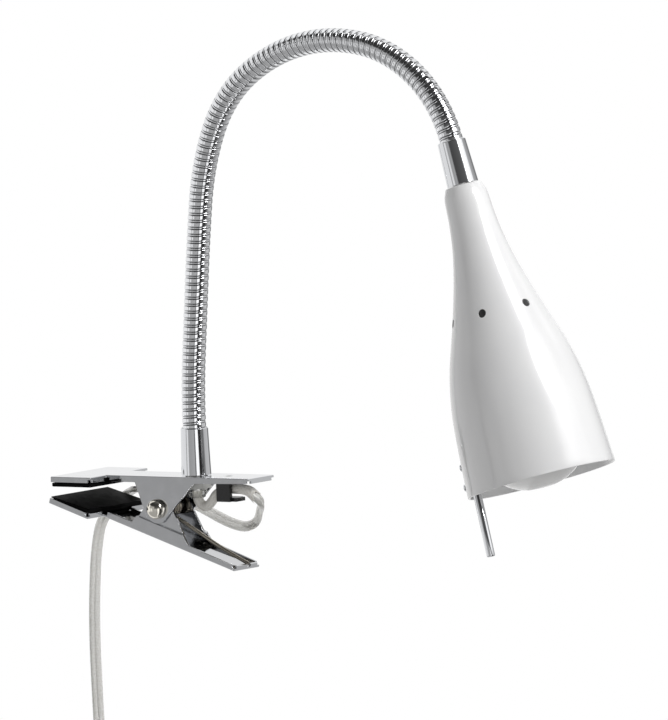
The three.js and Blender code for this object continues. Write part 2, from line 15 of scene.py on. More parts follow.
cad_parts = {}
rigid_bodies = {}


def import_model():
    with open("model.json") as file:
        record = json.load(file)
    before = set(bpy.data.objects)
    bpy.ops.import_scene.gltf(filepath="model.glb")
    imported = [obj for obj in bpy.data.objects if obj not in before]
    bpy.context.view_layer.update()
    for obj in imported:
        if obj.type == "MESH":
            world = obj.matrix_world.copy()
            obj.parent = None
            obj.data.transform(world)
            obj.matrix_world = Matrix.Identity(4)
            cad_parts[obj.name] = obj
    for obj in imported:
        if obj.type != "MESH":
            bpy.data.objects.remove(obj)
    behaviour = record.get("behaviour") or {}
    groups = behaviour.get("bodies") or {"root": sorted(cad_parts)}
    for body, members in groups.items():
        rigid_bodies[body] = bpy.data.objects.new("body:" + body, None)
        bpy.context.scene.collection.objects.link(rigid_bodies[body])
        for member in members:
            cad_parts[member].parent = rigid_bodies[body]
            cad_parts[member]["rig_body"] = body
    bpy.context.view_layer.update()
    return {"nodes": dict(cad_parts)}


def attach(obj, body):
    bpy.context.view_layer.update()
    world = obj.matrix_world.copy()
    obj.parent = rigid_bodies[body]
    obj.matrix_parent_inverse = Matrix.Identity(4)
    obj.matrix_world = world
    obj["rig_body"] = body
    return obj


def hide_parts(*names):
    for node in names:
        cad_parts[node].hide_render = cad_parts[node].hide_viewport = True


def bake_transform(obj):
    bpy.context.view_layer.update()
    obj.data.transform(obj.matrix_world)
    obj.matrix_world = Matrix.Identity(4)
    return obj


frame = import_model()

MM = 0.001
STEM = Vector((0.05815, 0, 0.00485))
PIVOT = (-16.8, 0, -15.5)
LOWER_TILT = math.radians(17.6)
UPPER_PLATE, LOWER_PLATE = 15.5, 14  # pivot to the outer face of each jaw's plate
JAW_HALF_WIDTH = 9.7

STEM_FERRULE_HEIGHT = 22.6
HOSE_RADIUS = 5.65
NECK_LENGTH = 320
NECK_BENDS = [6, 0, 1.5, 16, 31, 22.5, 23, 31, 33.5]  # degrees in each ninth of the neck
JOINT_SPACING = 40
HOSE_BODIES = ["clamp", *(f"hose_{i}" for i in range(2, 9)), "head"]

HEAD_FERRULE_HEIGHT = 21.5
SHADE_LENGTH = 142.5
SHADE_WALL = 0.9
VENTS = {"count": 6, "radius": 2, "depth": 61.8, "first_angle": -71.6}
BULB_CROWN = 146.4
ROD = {"radius": 2, "angle": -150, "distance": 30.2, "top": 122, "length": 49.2, "lean": 2.4}

CORD = {"width": 5.3, "thickness": 3.2, "step": 1.6}
COIL = {"x": -85, "y": 25.5, "z": -243, "radius": 30, "pitch": 5.3}

PHOTO_AZIMUTH = math.radians(37.4)
PHOTO_ELEVATION = math.radians(5.3)
PHOTO_ROLL = math.radians(2.6)
PHOTO_HEIGHT = 0.3394  # metres that the picture is high, at the aim
CAMERA_DISTANCE = 12.0
SENSOR = 36.0


def at(x, y, z):
    return STEM + Vector((x, y, z)) * MM


# ---- camera ----

def make_camera():
    a, e = PHOTO_AZIMUTH, PHOTO_ELEVATION
    towards = Vector((math.sin(a) * math.cos(e), -math.cos(a) * math.cos(e), math.sin(e)))
    right = Vector((math.cos(a), math.sin(a), 0))
    up = towards.cross(right)
    aim = STEM + right * 0.0672 + up * 0.0512
    camera = bpy.data.objects.new("camera", bpy.data.cameras.new("camera"))
    bpy.context.scene.collection.objects.link(camera)
    camera.data.sensor_width = SENSOR
    camera.data.lens = SENSOR * CAMERA_DISTANCE / PHOTO_HEIGHT
    camera.data.clip_start, camera.data.clip_end = 0.1, 100
    roll_up = up * math.cos(PHOTO_ROLL) + right * math.sin(PHOTO_ROLL)
    roll_right = right * math.cos(PHOTO_ROLL) - up * math.sin(PHOTO_ROLL)
    turn = Matrix((roll_right, roll_up, towards)).transposed().to_4x4()
    camera.matrix_world = Matrix.Translation(aim + towards * CAMERA_DISTANCE) @ turn
    bpy.context.scene.camera = camera


# ---- mesh helpers ----

def new_piece(name, points, faces, smooth_angle=35):
    """A mesh from points in metres, smooth but for edges sharper than smooth_angle."""
    mesh = bpy.data.meshes.new(name)
    mesh.from_pydata([tuple(p) for p in points], [], faces)
    piece = bpy.data.objects.new(name, mesh)
    bpy.context.scene.collection.objects.link(piece)
    smooth(piece, smooth_angle)
    return piece


def smooth(piece, angle):
    piece.data.shade_smooth()
    piece.data.set_sharp_from_angle(angle=math.radians(angle))


def edit(piece, change):
    """Runs change(bm) on the piece's mesh."""
    bm = bmesh.new()
    bm.from_mesh(piece.data)
    change(bm)
    bm.to_mesh(piece.data)
    bm.free()


def face_outwards(piece):
    edit(piece, lambda bm: bmesh.ops.recalc_face_normals(bm, faces=bm.faces))


def bevel(piece, width, segments=3, weighted=False, angle=30):
    """Rounds the piece's edges, width in millimetres, leaves its flat faces shaded flat and
    keeps the result in its mesh. weighted edges are rounded by their own bevel weights."""
    modifier = piece.modifiers.new("bevel", "BEVEL")
    modifier.width = width * MM
    modifier.segments = segments
    modifier.limit_method = "WEIGHT" if weighted else "ANGLE"
    modifier.angle_limit = math.radians(angle)
    modifier.use_clamp_overlap = not weighted
    modifier.harden_normals = True
    keep_modifiers(piece)


def keep_modifiers(piece):
    bpy.context.view_layer.update()
    graph = bpy.context.evaluated_depsgraph_get()
    mesh = bpy.data.meshes.new_from_object(piece.evaluated_get(graph))
    piece.modifiers.clear()
    piece.data = mesh


def lathe(name, profile, matrix, sides=64, closed=False, smooth_angle=35):
    """Turns a profile of (radius, height) millimetres about the matrix's Z axis."""
    points, rows = [], []
    for radius, height in profile:
        if radius == 0:
            rows.append([len(points)] * sides)
            points.append(matrix @ Vector((0, 0, height * MM)))
            continue
        rows.append(list(range(len(points), len(points) + sides)))
        for i in range(sides):
            angle = 2 * math.pi * i / sides
            at_side = Vector((radius * math.cos(angle), radius * math.sin(angle), height)) * MM
            points.append(matrix @ at_side)
    faces = []
    pairs = list(zip(rows, rows[1:] + rows[:1] if closed else rows[1:]))
    for low, high in pairs:
        for i in range(sides):
            j = (i + 1) % sides
            corners = [low[i], low[j], high[j], high[i]]
            faces.append(list(dict.fromkeys(corners)))
    piece = new_piece(name, points, faces, smooth_angle)
    face_outwards(piece)
    return piece


def catmull_rom(points, per_span):
    """Points along the centripetal curve through the given ones."""
    knots = [Vector(p) for p in points]
    knots = [2 * knots[0] - knots[1], *knots, 2 * knots[-1] - knots[-2]]
    found = []
    for p0, p1, p2, p3 in zip(knots, knots[1:], knots[2:], knots[3:]):
        t1 = (p1 - p0).length ** 0.5
        t2 = t1 + (p2 - p1).length ** 0.5
        t3 = t2 + (p3 - p2).length ** 0.5
        for i in range(per_span):
            t = t1 + (t2 - t1) * i / per_span
            a1 = p0.lerp(p1, t / t1)
            a2 = p1.lerp(p2, (t - t1) / (t2 - t1))
            a3 = p2.lerp(p3, (t - t2) / (t3 - t2))
            b1 = a1.lerp(a2, t / t2)
            b2 = a2.lerp(a3, (t - t1) / (t3 - t1))
            found.append(b1.lerp(b2, (t - t1) / (t2 - t1)))
    return [*found, knots[-2]]


def evenly(line, step):
    """The line again with its points about step apart."""
    cloud = np.array([tuple(p) for p in line])
    along = np.concatenate([[0], np.cumsum(np.linalg.norm(np.diff(cloud, axis=0), axis=1))])
    marks = np.linspace(0, along[-1], max(2, round(along[-1] / step) + 1))
    axes = [np.interp(marks, along, cloud[:, k]) for k in range(3)]
    return [Vector(p) for p in np.stack(axes, 1)]


def steady_frames(line, first_side):
    """(along, side, other) at each point, turning no more than the line does."""
    frames = []
    side = Vector(first_side)
    for i in range(len(line)):
        before, after = line[max(i - 1, 0)], line[min(i + 1, len(line) - 1)]
        along = (after - before).normalized()
        side = (side - along * side.dot(along)).normalized()
        frames.append((along, side, along.cross(side)))
    return frames


def sweep(name, line, section, frames, twist=lambda share: 0.0, capped=True, smooth_angle=35):
    """A section of (side, other) points, in metres, carried along a line. section may be a
    function of the share of the line's length. Its UVs are millimetres round and along."""
    points, along = [], 0.0
    rows = []
    for i, (point, (_, side, other)) in enumerate(zip(line, frames)):
        share = i / (len(line) - 1)
        angle = twist(share)
        u = side * math.cos(angle) + other * math.sin(angle)
        v = other * math.cos(angle) - side * math.sin(angle)
        outline = section(share) if callable(section) else section
        rows.append(list(range(len(points), len(points) + len(outline))))
        points.extend(point + u * a + v * b for a, b in outline)
    sides = len(rows[0])
    faces = []
    for low, high in zip(rows, rows[1:]):
        for i in range(sides):
            j = (i + 1) % sides
            faces.append([low[i], low[j], high[j], high[i]])
    if capped:
        faces.append(rows[0][::-1])
        faces.append(rows[-1])
    piece = new_piece(name, points, faces, smooth_angle)
    uv = piece.data.uv_layers.new(name="run")
    for index, (low, high) in enumerate(zip(line, line[1:])):
        step = (high - low).length / MM
        for i in range(sides):
            face = piece.data.polygons[index * sides + i]
            for loop, (du, dv) in zip(face.loop_indices, ((0, 0), (1, 0), (1, 1), (0, 1))):
                uv.data[loop].uv = ((i + du) / sides, along + dv * step)
        along += step
    return piece


def ring(radius, sides):
    """A round section, in metres from a radius in millimetres."""
    angles = [2 * math.pi * i / sides for i in range(sides)]
    return [(radius * MM * math.cos(t), radius * MM * math.sin(t)) for t in angles]


FOLD_RADIUS = 0.45
CUT_EDGE_SHARE = 0.25  # a cut edge's rounding, as a share of a fold's
LEAST_FOLD = math.radians(25)
ON_FACE = 0.05 * MM  # how near the sheet's outer face a fold's edge lies
SAME_PLACE = 0.002 * MM
FLAT = math.radians(0.7)  # facets that meet at less are one flat face


def finished(node, width=0.3, segments=2, smooth_angle=35, fold=None):
    """A copy of a CAD node's mesh with its flat faces made whole and its edges rounded.
    fold, a (point, normal) plane, gets the wide bend of folded sheet instead."""
    source = frame["nodes"][node]
    piece = bpy.data.objects.new(node + "_finish", source.data.copy())
    piece.data.materials.clear()
    bpy.context.scene.collection.objects.link(piece)
    piece.matrix_world = source.matrix_world.copy()
    weighted = fold is not None

    def clean(bm):
        bmesh.ops.remove_doubles(bm, verts=bm.verts, dist=SAME_PLACE)
        bmesh.ops.dissolve_limit(bm, angle_limit=FLAT, verts=bm.verts, edges=bm.edges)
        if weighted:
            mark_folds(bm, *fold)

    edit(piece, clean)
    smooth(piece, smooth_angle)
    bevel(piece, FOLD_RADIUS if weighted else width, 4 if weighted else segments, weighted)
    settle(piece, node)
    return piece


def mark_folds(bm, point, normal):
    """Bevel weights: whole on edges of the sheet's outer face, small on the other ones."""
    weight = bm.edges.layers.float.new("bevel_weight_edge")
    for edge in bm.edges:
        if len(edge.link_faces) != 2 or edge.calc_face_angle(0) < LEAST_FOLD:
            continue
        on_face = all(abs((v.co - point).dot(normal)) < ON_FACE for v in edge.verts)
        edge[weight] = 1.0 if on_face else CUT_EDGE_SHARE


def settle(piece, *nodes):
    """The piece stands for CAD nodes and rides where the first of them does."""
    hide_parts(*nodes)
    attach(piece, frame["nodes"][nodes[0]]["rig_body"])
    return piece


# ---- materials ----

def shader(name, color, roughness, metallic=0.0, **inputs):
    """A new material's node tree and its Principled shader. inputs are the shader's sockets,
    with spaces as underscores."""
    material = bpy.data.materials.new(name)
    material.use_nodes = True
    principled = material.node_tree.nodes["Principled BSDF"]
    principled.inputs["Base Color"].default_value = (*color, 1)
    principled.inputs["Roughness"].default_value = roughness
    principled.inputs["Metallic"].default_value = metallic
    for socket, value in inputs.items():
        principled.inputs[socket.replace("_", " ")].default_value = value
    return material, material.node_tree, principled


def texture_of(tree, kind, scale, stretch=(1, 1, 1), use="Object", **settings):
    """A procedural texture at so many features to the millimetre."""
    where = tree.nodes.new("ShaderNodeTexCoord")
    mapping = tree.nodes.new("ShaderNodeMapping")
    unit = 1 if use == "UV" else 1 / MM
    mapping.inputs["Scale"].default_value = [scale * unit * s for s in stretch]
    texture = tree.nodes.new(kind)
    texture.inputs["Scale"].default_value = 1
    for key, value in settings.items():
        if key in texture.inputs:
            texture.inputs[key].default_value = value
        else:
            setattr(texture, key, value)
    tree.links.new(where.outputs[use], mapping.inputs["Vector"])
    tree.links.new(mapping.outputs["Vector"], texture.inputs["Vector"])
    return texture


def ramp(tree, factor, stops):
    """A colour ramp of (place, grey or colour) stops."""
    node = tree.nodes.new("ShaderNodeValToRGB")
    while len(node.color_ramp.elements) < len(stops):
        node.color_ramp.elements.new(1.0)
    for element, (place, value) in zip(node.color_ramp.elements, stops):
        element.position = place
        element.color = (*value, 1) if isinstance(value, tuple) else (value, value, value, 1)
    tree.links.new(factor, node.inputs["Fac"])
    return node.outputs["Color"]


def bump(tree, principled, height, distance, after=None):
    """Bump of that many millimetres, on top of an earlier one."""
    node = tree.nodes.new("ShaderNodeBump")
    node.inputs["Distance"].default_value = distance * MM
    tree.links.new(height, node.inputs["Height"])
    if after:
        tree.links.new(after.outputs["Normal"], node.inputs["Normal"])
    tree.links.new(node.outputs["Normal"], principled.inputs["Normal"])
    return node


PAINTED_SHADE_KEEP = 0.62  # share of its base colour that metal keeps where painted shade darkens it most


def polished_metal(name, color, smooth_to_dull, ripple, ripple_scale=0.08, scratches=0.004):
    """Plated or drawn metal: clouded polish, a faint ripple in the sheet, hairline scratches,
    and painted shade that darkens faces marked inside.
    """
    material, tree, principled = shader(name, color, 0.1, 1.0)
    cloud = texture_of(tree, "ShaderNodeTexNoise", 0.25, Detail=6, Roughness=0.6)
    # painted shade: faces marked inside get a darker base colour
    inside = tree.nodes.new("ShaderNodeAttribute")
    inside.attribute_name = "inside"
    painted_shade_tone = tuple(c * PAINTED_SHADE_KEEP for c in color)
    tree.links.new(
        ramp(tree, inside.outputs["Fac"], [(0.0, color), (1.0, painted_shade_tone)]),
        principled.inputs["Base Color"],
    )
    low, high = smooth_to_dull
    rough = ramp(tree, cloud.outputs["Fac"], [(0.3, low), (0.75, high)])
    tree.links.new(rough, principled.inputs["Roughness"])
    waves = texture_of(tree, "ShaderNodeTexNoise", ripple_scale, Detail=2)
    first = bump(tree, principled, waves.outputs["Fac"], ripple)
    hair = texture_of(tree, "ShaderNodeTexNoise", 3.0, stretch=(1, 0.06, 1), Detail=3)
    bump(tree, principled, hair.outputs["Fac"], scratches, after=first)
    return material


def moulded(name, color, roughness, grain, grain_depth, shift=0.15, **inputs):
    """Moulded plastic or rubber: a fine grain, and colour and gloss that vary a little."""
    material, tree, principled = shader(name, color, roughness, **inputs)
    cloud = texture_of(tree, "ShaderNodeTexNoise", 0.2, Detail=5, Roughness=0.6)
    darker = tuple(c * (1 - shift) for c in color)
    tone = ramp(tree, cloud.outputs["Fac"], [(0.3, darker), (0.7, color)])
    tree.links.new(tone, principled.inputs["Base Color"])
    gloss = ramp(tree, cloud.outputs["Fac"], [(0.3, roughness * 1.15), (0.7, roughness * 0.9)])
    tree.links.new(gloss, principled.inputs["Roughness"])
    fine = texture_of(tree, "ShaderNodeTexNoise", grain, Detail=4, Roughness=0.7)
    bump(tree, principled, fine.outputs["Fac"], grain_depth)
    return material


def hose_metal():
    """Chrome of the wound hose, with painted shade dark down in the seams between its turns."""
    material, tree, principled = shader("hose_chrome", (0.74, 0.75, 0.78), 0.14, 1.0)
    # painted shade: the base colour goes near black down in the seams
    seam = tree.nodes.new("ShaderNodeAttribute")
    seam.attribute_name = "seam"
    tone = ramp(tree, seam.outputs["Fac"], [(0.0, (0.90, 0.91, 0.93)), (1.0, (0.06, 0.06, 0.065))])
    tree.links.new(tone, principled.inputs["Base Color"])
    cloud = texture_of(tree, "ShaderNodeTexNoise", 0.3, Detail=5)
    rough = ramp(tree, cloud.outputs["Fac"], [(0.3, 0.07), (0.7, 0.16)])
    tree.links.new(rough, principled.inputs["Roughness"])
    hair = texture_of(tree, "ShaderNodeTexNoise", 2.0, Detail=4)
    bump(tree, principled, hair.outputs["Fac"], 0.006)
    return material


def drawn_wire(name, color):
    """Spring wire: fine lines drawn along it. Its UVs run round and along the wire."""
    material, tree, principled = shader(name, color, 0.28, 0.95)
    lines = texture_of(
        tree, "ShaderNodeTexNoise", 1, stretch=(26, 0.12, 1), use="UV", Detail=4, Roughness=0.65
    )
    darker = tuple(c * 0.45 for c in color)
    tone = ramp(tree, lines.outputs["Fac"], [(0.38, darker), (0.62, color)])
    tree.links.new(tone, principled.inputs["Base Color"])
    rough = ramp(tree, lines.outputs["Fac"], [(0.3, 0.42), (0.7, 0.2)])
    tree.links.new(rough, principled.inputs["Roughness"])
    bump(tree, principled, lines.outputs["Fac"], 0.03)
    return material


def lacquer():
    """White gloss lacquer on spun metal, with a faint orange peel."""
    material, tree, principled = shader(
        "white_lacquer", (0.9, 0.9, 0.9), 0.3, Coat_Weight=1.0, Coat_Roughness=0.04
    )
    cloud = texture_of(tree, "ShaderNodeTexNoise", 0.05, Detail=4)
    stops = [(0.3, (0.885, 0.885, 0.89)), (0.7, (0.91, 0.91, 0.91))]
    tone = ramp(tree, cloud.outputs["Fac"], stops)
    tree.links.new(tone, principled.inputs["Base Color"])
    peel = texture_of(tree, "ShaderNodeTexNoise", 0.5, Detail=2)
    bump(tree, principled, peel.outputs["Fac"], 0.012)
    return material


def braid():
    """Woven glass fibre: two sets of threads crossing on the bias, with painted shade where they
    lie low.
    """
    material, tree, principled = shader(
        "glass_fibre", (0.95, 0.92, 0.86), 0.8, Sheen_Weight=0.3
    )
    heights = []
    for lean in (1, -1):
        where = tree.nodes.new("ShaderNodeTexCoord")
        mapping = tree.nodes.new("ShaderNodeMapping")
        mapping.inputs["Scale"].default_value = (14, 0.9 * lean, 1)
        tree.links.new(where.outputs["UV"], mapping.inputs["Vector"])
        wave = tree.nodes.new("ShaderNodeTexWave")
        wave.bands_direction = "DIAGONAL"
        wave.inputs["Scale"].default_value = 0.35
        wave.inputs["Distortion"].default_value = 0.6
        tree.links.new(mapping.outputs["Vector"], wave.inputs["Vector"])
        heights.append(wave.outputs["Fac"])
    over = tree.nodes.new("ShaderNodeMath")
    over.operation = "MAXIMUM"
    tree.links.new(heights[0], over.inputs[0])
    tree.links.new(heights[1], over.inputs[1])
    # painted shade: the colour darkens where the threads lie low
    tone = ramp(
        tree, over.outputs["Value"], [(0.3, (0.90, 0.87, 0.80)), (0.9, (0.99, 0.97, 0.92))]
    )
    tree.links.new(tone, principled.inputs["Base Color"])
    bump(tree, principled, over.outputs["Value"], 0.06)
    return material


def cord_plastic():
    """Clear plastic over two pale conductors, which show through it as fine twisted strands."""
    material, tree, principled = shader(
        "clear_pvc",
        (0.95, 0.94, 0.92),
        0.16,
        Coat_Weight=0.6,
        Coat_Roughness=0.05,
        Transmission_Weight=0.55,
        IOR=1.42,
    )
    strands = texture_of(
        tree, "ShaderNodeTexNoise", 1, stretch=(9, 1.1, 1), use="UV", Detail=3, Roughness=0.5
    )
    tone = ramp(
        tree, strands.outputs["Fac"], [(0.35, (0.88, 0.86, 0.82)), (0.6, (0.98, 0.98, 0.96))]
    )
    tree.links.new(tone, principled.inputs["Base Color"])
    bump(tree, principled, strands.outputs["Fac"], 0.03)
    return material


def opal():
    """Opal coated bulb glass."""
    material, tree, principled = shader(
        "opal_glass", (0.9, 0.9, 0.89), 0.22, Coat_Weight=1.0, Coat_Roughness=0.03
    )
    cloud = texture_of(tree, "ShaderNodeTexNoise", 0.12, Detail=5)
    tone = ramp(tree, cloud.outputs["Fac"], [(0.3, (0.86, 0.86, 0.85)), (0.7, (0.92, 0.92, 0.91))])
    tree.links.new(tone, principled.inputs["Base Color"])
    peel = texture_of(tree, "ShaderNodeTexNoise", 0.3, Detail=2)
    bump(tree, principled, peel.outputs["Fac"], 0.01)
    return material


def clear_glassy():
    """Clear moulded plastic of the cable bush, with flow lines in it."""
    material, tree, principled = shader(
        "clear_bush", (0.95, 0.95, 0.93), 0.06, Transmission_Weight=0.92, IOR=1.46
    )
    flow = texture_of(tree, "ShaderNodeTexNoise", 0.5, stretch=(1, 1, 0.3), Detail=3)
    bump(tree, principled, flow.outputs["Fac"], 0.06)
    rough = ramp(tree, flow.outputs["Fac"], [(0.3, 0.03), (0.7, 0.14)])
    tree.links.new(rough, principled.inputs["Roughness"])
    return material


def make_materials():
    return {
        "chrome": polished_metal("chrome", (0.80, 0.81, 0.83), (0.045, 0.11), 0.02),
        "hose_chrome": hose_metal(),
        "spring_steel": drawn_wire("spring_steel", (0.62, 0.57, 0.48)),
        "zinc_steel": polished_metal(
            "zinc_steel", (0.62, 0.62, 0.60), (0.22, 0.42), 0.03, 0.4, 0.01
        ),
        "brass": polished_metal("brass", (0.76, 0.63, 0.30), (0.18, 0.35), 0.02, 0.3, 0.008),
        "rubber": moulded(
            "rubber", (0.003, 0.003, 0.0033), 0.6, 2.5, 0.05, 0.35, Specular_IOR_Level=0.06
        ),
        "black_plastic": moulded("black_plastic", (0.014, 0.014, 0.015), 0.24, 3.0, 0.012, 0.3),
        "lampholder_plastic": moulded("lampholder_plastic", (0.05, 0.05, 0.05), 0.45, 2.0, 0.02),
        "white_lacquer": lacquer(),
        "opal_glass": opal(),
        "glass_fibre": braid(),
        "clear_pvc": cord_plastic(),
        "white_plastic": moulded("white_plastic", (0.88, 0.88, 0.87), 0.3, 2.2, 0.012, 0.03),
    }


MATERIALS = make_materials()


def paint(piece, slot, material=None):
    """Gives a new piece the material of its slot, unless another material is given."""
    piece.data.materials.clear()
    piece.data.materials.append(material or MATERIALS[slot])
    return piece


def paint_node(node, slot):
    """A new material in a CAD node's own slots."""
    for place in frame["nodes"][node].material_slots:
        place.material = MATERIALS[slot]


# ---- cord ----

SLEEVE_ROUTE = [
    (0, 0, 6),
    (0, 0, -7),
    (0, 0.1, -10.2),
    (1, 1, -13.6),
    (4, 1.6, -14.9),
    (7.6, 1.2, -12.4),
    (11.2, 0.4, -8.9),
    (15.2, 0, -7),
    (20, 0, -6.1),
    (26.2, 0.1, -6.1),
    (30.4, 0.8, -7.1),
    (32.3, 2.2, -9.4),
]
# From inside the sleeve's cut end, round the loop below the handle and past the far ears.
RUN_ROUTE = [
    (30.4, 0.8, -7.1),
    (32.3, 2.2, -9.4),
    (33.4, 4.4, -11.8),
    (31.6, 7.7, -14),
    (27.6, 11.8, -17.3),
    (23, 14.6, -23.1),
    (16.3, 15.5, -25.6),
    (8.9, 15.6, -24.6),
    (1.6, 15.6, -22.1),
    (-5.9, 16.6, -19.4),
    (-14, 17.7, -16.6),
    (-26, 17.8, -12.6),
    (-38, 17.4, -10.1),
    (-46, 18, -9.6),
    (-51.5, 20, -9.8),
    (-56.5, 23.4, -10.9),
    (-61.5, 25.2, -13),
    (-67, 25.5, -16.6),
    (-73, 25.5, -21.4),
    (-78, 25.5, -27.6),
    (-81.1, 25.5, -38),
    (-83.3, 25.5, -54),
    (-85, 25.5, -80),
    (-85, 25.5, -127.7),
    (-85, 25.5, -184),
    (-85, 25.5, -193),
    (-87, 25.5, -200),
    (-92.5, 25.5, -206),
]
# How far out and how far along the coil's axis each turn lies, in turns' pitches.
COIL_TURNS = [(1, 0), (1, -1), (0, -1), (-1, -1), (-1, 0), (-1, 1), (0, 1), (1, 1)]
COIL_FROM, COIL_TO = 120, 48  # degrees, where the cord joins the coil and leaves it
TAIL_ROUTE = [
    (-69.5, 37.6, -216.6),
    (-75.6, 39.4, -213.4),
    (-81.6, 40.8, -214.6),
    (-85.4, 41.2, -219.8),
    (-86, 41.2, -226.3),
]


def coil_route():
    """The coil's turns, each stepping over to the next one's place in its first sixth."""
    points_a_turn, stepping = 24, 4
    count = round(points_a_turn * (len(COIL_TURNS) - (COIL_FROM - COIL_TO) / 360))
    found = []
    for i in range(1, count):
        turn, place = divmod(i, points_a_turn)
        here = COIL_TURNS[min(turn, len(COIL_TURNS) - 1)]
        before = COIL_TURNS[turn - 1] if turn else here
        share = min(1, place / stepping) if turn else 1
        share = share * share * (3 - 2 * share)
        out, across = (b + (h - b) * share for b, h in zip(before, here))
        angle = math.radians(COIL_FROM + 360 * i / points_a_turn)
        radius = COIL["radius"] + out * COIL["pitch"]
        x = COIL["x"] + radius * math.cos(angle)
        z = COIL["z"] + radius * math.sin(angle)
        found.append((x, COIL["y"] + across * COIL["pitch"], z))
    return found


def twin_section(width, thickness, per_lobe=12, lobe_arc=280):
    """Two round strands side by side, joined by a web, as one closed outline. lobe_arc is how
    many degrees of each strand stand clear of the web."""
    strand = thickness / 2
    centre = width / 2 - strand
    outline = []
    for side in (1, -1):
        for i in range(per_lobe + 1):
            angle = math.radians(lobe_arc * (i / per_lobe - 0.5))
            x = side * (centre + strand * math.cos(angle))
            y = side * strand * math.sin(angle)
            outline.append((x * MM, y * MM))
    return outline


HANGING_POINTS = 5  # of the run, after the one where the cord comes to hang straight


def make_cord():
    """The twin cord as one piece, turning its flat side to the front as it comes to hang."""
    hanging = len(RUN_ROUTE) - 1 - HANGING_POINTS
    spans = [at(*p) for p in [*RUN_ROUTE, *coil_route(), *TAIL_ROUTE]]
    line = evenly(catmull_rom(spans, 8), CORD["step"] * MM)
    frames = steady_frames(line, (0, 1, 0))
    straight = min(range(len(line)), key=lambda i: (line[i] - spans[hanging]).length)
    facing = Vector((math.cos(PHOTO_AZIMUTH), math.sin(PHOTO_AZIMUTH), 0))
    _, side, other = frames[straight]
    turn = math.atan2(facing.dot(other), facing.dot(side))
    reach = straight / (len(line) - 1)

    def twist(share):
        part = min(1, share / reach)
        return turn * part * part * (3 - 2 * part)

    section = twin_section(CORD["width"], CORD["thickness"])
    piece = sweep("cord", line, section, frames, twist, smooth_angle=50)
    length = sum((b - a).length for a, b in zip(line, line[1:]))
    paint(piece, "clear_pvc")
    settle(piece, "cord_run", "cord_run_below_switch", "cord_coil", "cord_tail")
    return piece, line, length


make_camera()
cord, cord_line, cord_length = make_cord()


# ---- neck ----

def neck_at(length):
    """(x, z, heading) on the neck's centreline: equal arcs, straight beyond its ends."""
    arc = NECK_LENGTH / len(NECK_BENDS)
    x, z, heading = 0.0, STEM_FERRULE_HEIGHT, 0.0
    if length < 0:
        return x, z + length, heading
    left = length
    for degrees in NECK_BENDS:
        run = min(left, arc)
        turn = math.radians(degrees) * run / arc
        chord = 2 * math.sin(turn / 2) / turn * run if turn else run
        x += chord * math.sin(heading + turn / 2)
        z += chord * math.cos(heading + turn / 2)
        heading += turn
        left -= run
        if left <= 0:
            return x, z, heading
    return x + left * math.sin(heading), z + left * math.cos(heading), heading


# The wound strip's section: how far along the turn, how much below the hose's radius in
# millimetres, and how much of a seam it is, which the material paints dark as painted shade.
HOSE_PROFILE = [
    (0.00, 0.60, 1.0),
    (0.02, 0.25, 0.8),
    (0.05, 0.08, 0.1),
    (0.10, 0.01, 0.0),
    (0.20, 0.00, 0.0),
    (0.50, 0.00, 0.0),
    (0.60, 0.01, 0.0),
    (0.65, 0.08, 0.1),
    (0.68, 0.25, 0.8),
    (0.70, 0.60, 1.0),
    (0.725, 0.34, 0.5),
    (0.76, 0.22, 0.0),
    (0.85, 0.20, 0.0),
    (0.94, 0.22, 0.0),
    (0.975, 0.34, 0.5),
]
TURNS_A_JOINT = 12
HOSE_COLUMNS = 40
HIDDEN_TURNS = 3  # inside a ferrule
SPLIT_HOSES = (2, 4, 6, 8)  # across the joints that bend in the neck's own plane
BEAD_RADIUS = 5.02
BEND_FROM, BEND_TO = 5.5, JOINT_SPACING - 2  # along an unsplit length, where its bend would start and end; make_hose reckons these places but nothing uses them


def hose_piece(index, first, last):
    """One helical surface, from turn first to turn last past the middle of rigid length
    number index."""
    pitch = JOINT_SPACING / TURNS_A_JOINT
    start = (index - 1) * JOINT_SPACING
    points, seams = [], []
    marks = [(turn, *row) for turn in range(first, last) for row in HOSE_PROFILE]
    marks.append((last, *HOSE_PROFILE[0]))
    for turn, along, below, seam in marks:
        for column in range(HOSE_COLUMNS + 1):
            share = column / HOSE_COLUMNS
            x, z, heading = neck_at(start + pitch * (turn + along + share))
            angle = 2 * math.pi * share
            radius = HOSE_RADIUS - below
            out = radius * math.cos(angle)
            across_x, across_z = out * math.cos(heading), -out * math.sin(heading)
            points.append(at(x + across_x, radius * math.sin(angle), z + across_z))
            seams.append(seam)
    across = HOSE_COLUMNS + 1
    faces = []
    for row in range(len(marks) - 1):
        for column in range(HOSE_COLUMNS):
            corner = row * across + column
            faces.append([corner, corner + 1, corner + across + 1, corner + across])
    piece = new_piece(f"hose_{index}_wound_from_{first + HIDDEN_TURNS}", points, faces, 75)
    groove = piece.data.attributes.new("seam", "FLOAT", "POINT")
    groove.data.foreach_set("value", seams)
    edit(piece, lambda bm: bmesh.ops.remove_doubles(bm, verts=bm.verts, dist=1e-7))
    return piece


